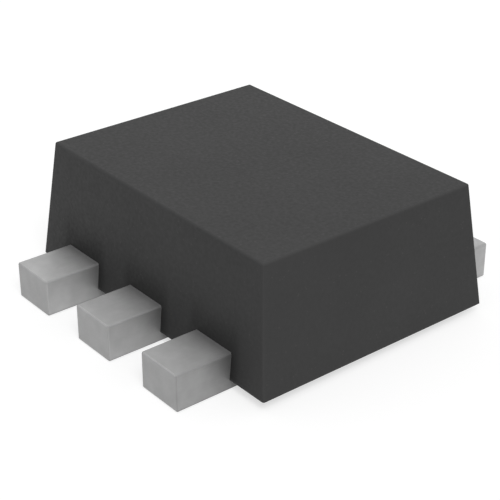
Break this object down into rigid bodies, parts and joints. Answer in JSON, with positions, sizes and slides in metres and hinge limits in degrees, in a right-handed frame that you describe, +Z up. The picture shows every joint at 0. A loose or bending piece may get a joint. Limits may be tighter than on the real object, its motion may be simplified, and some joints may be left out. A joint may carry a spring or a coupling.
{
  "type": "temperature sensor ic",
  "caption": "Dark molded temperature sensor chip in a tiny flat-lead package, with short square-cut tinned leads along both long sides and a bare flat top.",
  "frame": {"origin": "on the solder plane under the middle of the body", "axes": "+X along the rows of leads, from lead 1 to lead 3; +Y from lead 2 to lead 5; +Z up through the body's top"},
  "size_m": [0.0018, 0.0018, 0.0007],
  "materials": {
    "mold_compound": "matte",
    "tinned_lead": "satin",
    "die_glue": "matte",
    "silicon": "polished",
    "gold_wire": "gloss"
  },
  "bodies": {
    "root": {"molded_body": "mold_compound", "lead_1": "tinned_lead", "lead_2": "tinned_lead", "lead_3": "tinned_lead", "lead_4": "tinned_lead", "lead_5": "tinned_lead", "lead_6": "tinned_lead", "die_attach": "die_glue", "silicon_die": "silicon", "bond_wire_1": "gold_wire", "bond_wire_2": "gold_wire", "bond_wire_3": "gold_wire", "bond_wire_4": "gold_wire", "bond_wire_5": "gold_wire", "bond_wire_6": "gold_wire"}
  },
  "joints": []
}
